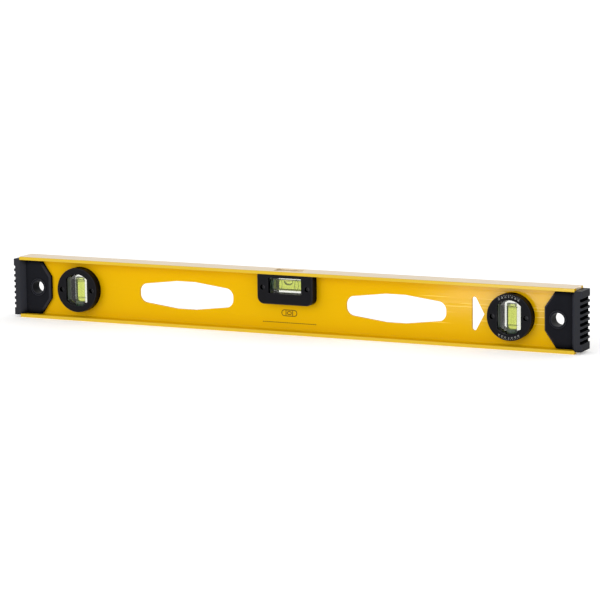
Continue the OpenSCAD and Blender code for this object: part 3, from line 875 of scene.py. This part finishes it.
def number(mesh, turn, text):
    """A number that reads outward from the dial's middle."""
    curve = bpy.data.curves.new("number", "FONT")
    curve.body = text
    curve.size = NUMBER_SIZE
    curve.align_x = "CENTER"
    curve.align_y = "CENTER"
    curve.extrude = PRINT_THICK / 2
    curve.resolution_u = 4
    thing = bpy.data.objects.new("number", curve)
    bpy.context.scene.collection.objects.link(thing)
    bpy.context.view_layer.update()
    drawn = bpy.data.meshes.new_from_object(thing.evaluated_get(bpy.context.evaluated_depsgraph_get()))
    upright = Matrix.Rotation(math.pi / 2, 4, "X")
    drawn.transform(turn.to_4x4() @ Matrix.Translation((0, 0, NUMBER_RADIUS)) @ upright)
    mesh.from_mesh(drawn)
    bpy.data.objects.remove(thing)
    bpy.data.meshes.remove(drawn)


def dial_scale(name, node, facing, material):
    """Degree marks and numbers above and below the window of a half of the dial's housing."""
    low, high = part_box(node)
    middle = Vector(((low.x + high.x) / 2, 0, (low.z + high.z) / 2))
    face = max(high.y, -low.y) + PRINT_OUT
    mesh = bmesh.new()
    for base in (0, 180):
        for angle in range(-DIAL_LAST, DIAL_LAST + 1, DIAL_TICK_STEP):
            turn = Matrix.Rotation(math.radians(base + angle), 3, "Y")
            numbered = angle % DIAL_NUMBER_STEP == 0
            length = TICK_LONG if numbered else TICK_SHORT
            bar(mesh, TICK_WIDTH, length, (0, 0, TICK_OUTER - length / 2), turn)
            if numbered:
                number(mesh, turn, str(abs(angle)))
    bmesh.ops.remove_doubles(mesh, verts=mesh.verts, dist=WELD_REACH)
    print_piece(name, mesh, facing, middle, face, "dial", material)


# Print on the web: a plain sign of a vial over a dashed rule, on both sides of the beam

WEB_FACE = 1.2 * MM  # from the web's middle
SIGN_MIDDLE = 20.0 * MM  # above the lower working face
SIGN_LENGTH = 17.0 * MM
SIGN_HEIGHT = 6.6 * MM
SIGN_LINE = 0.75 * MM
SIGN_BUBBLE_LENGTH = 5.0 * MM
SIGN_BUBBLE_HEIGHT = 3.6 * MM
SIGN_GAUGE = 3.6 * MM  # from the sign's middle to each gauge mark
SIGN_GAUGE_HEIGHT = SIGN_HEIGHT - 2.5 * SIGN_LINE
RULE_HEIGHT = 10.3 * MM  # above the lower working face
RULE_LENGTH = 58.0 * MM
RULE_DASHES = 29
DASH_SHARE = 0.7  # of the distance from dash to dash


def capsule(length, height, steps=16):
    """The outline of a bar with round ends."""
    r, straight = height / 2, (length - height) / 2
    return [
        (side * straight + r * math.cos(a), r * math.sin(a))
        for side, start in ((1, -math.pi / 2), (-1, math.pi / 2))
        for a in (start + math.pi * i / steps for i in range(steps + 1))
    ]


def capsule_ring(mesh, length, height):
    """A capsule drawn as a line of the sign's width, which lies inside its outline."""
    outer = capsule(length, height)
    inner = capsule(length - 2 * SIGN_LINE, height - 2 * SIGN_LINE)
    corners = ((outer, -PRINT_PROUD), (inner, -PRINT_PROUD), (inner, PRINT_SUNK), (outer, PRINT_SUNK))
    layers = [[mesh.verts.new((x, y, z)) for x, z in outline] for outline, y in corners]
    for near, far in zip(layers, layers[1:] + layers[:1]):
        for i in range(len(outer)):
            j = (i + 1) % len(outer)
            mesh.faces.new((near[i], near[j], far[j], far[i]))


def web_print(name, facing, material):
    mesh = bmesh.new()
    capsule_ring(mesh, SIGN_LENGTH, SIGN_HEIGHT)
    capsule_ring(mesh, SIGN_BUBBLE_LENGTH, SIGN_BUBBLE_HEIGHT)
    for side in (-1, 1):
        bar(mesh, SIGN_LINE, SIGN_GAUGE_HEIGHT, (side * SIGN_GAUGE, -PRINT_OUT, 0))
    pitch = RULE_LENGTH / RULE_DASHES
    for i in range(RULE_DASHES):
        along = (i - (RULE_DASHES - 1) / 2) * pitch
        bar(mesh, pitch * DASH_SHARE, SIGN_LINE, (along, -PRINT_OUT, RULE_HEIGHT - SIGN_MIDDLE))
    print_piece(name, mesh, facing, (0, 0, SIGN_MIDDLE), WEB_FACE, "level", material)


def finish_cad_nodes(materials):
    """Gives every CAD node that stays its material."""
    by_slot = {
        "beam_paint": materials["paint"],
        "cap_plastic": materials["cap"],
        "housing_plastic": materials["housing"],
        "gauge_mark": materials["ring"],
        "screw_steel": materials["screw"],
    }
    for name, node in nodes.items():
        slot = node.data.materials[0].name
        if name.endswith("_vial_plug"):
            node.data.materials[0] = materials["plug"]
        elif slot in by_slot:
            node.data.materials[0] = by_slot[slot]


make_camera()
make_studio()
materials = {
    "paint": paint_material(),
    "cap": plastic_material("cap_plastic", **CAP_PLASTIC),
    "housing": plastic_material("housing_plastic", **HOUSING_PLASTIC),
    "acrylic": acrylic_material(),
    "side": acrylic_side_material(),
    "liquid": liquid_material(),
    "air": bubble_material(),
    "ring": ring_material(),
    "plug": plug_material(),
    "screw": screw_material(),
    "print": dial_print_material(),
    "web_print": web_print_material(),
}
finish_cad_nodes(materials)
make_vial("center", "level", "center_bubble", materials)
make_vial("plumb", "level", "plumb_bubble", materials)
make_vial("dial", "dial", "dial_bubble", materials)
dial_scale("dial_scale_front", "dial_housing_front", 1, materials["print"])
dial_scale("dial_scale_rear", "dial_housing_rear", -1, materials["print"])
web_print("web_print_front", 1, materials["web_print"])
web_print("web_print_rear", -1, materials["web_print"])
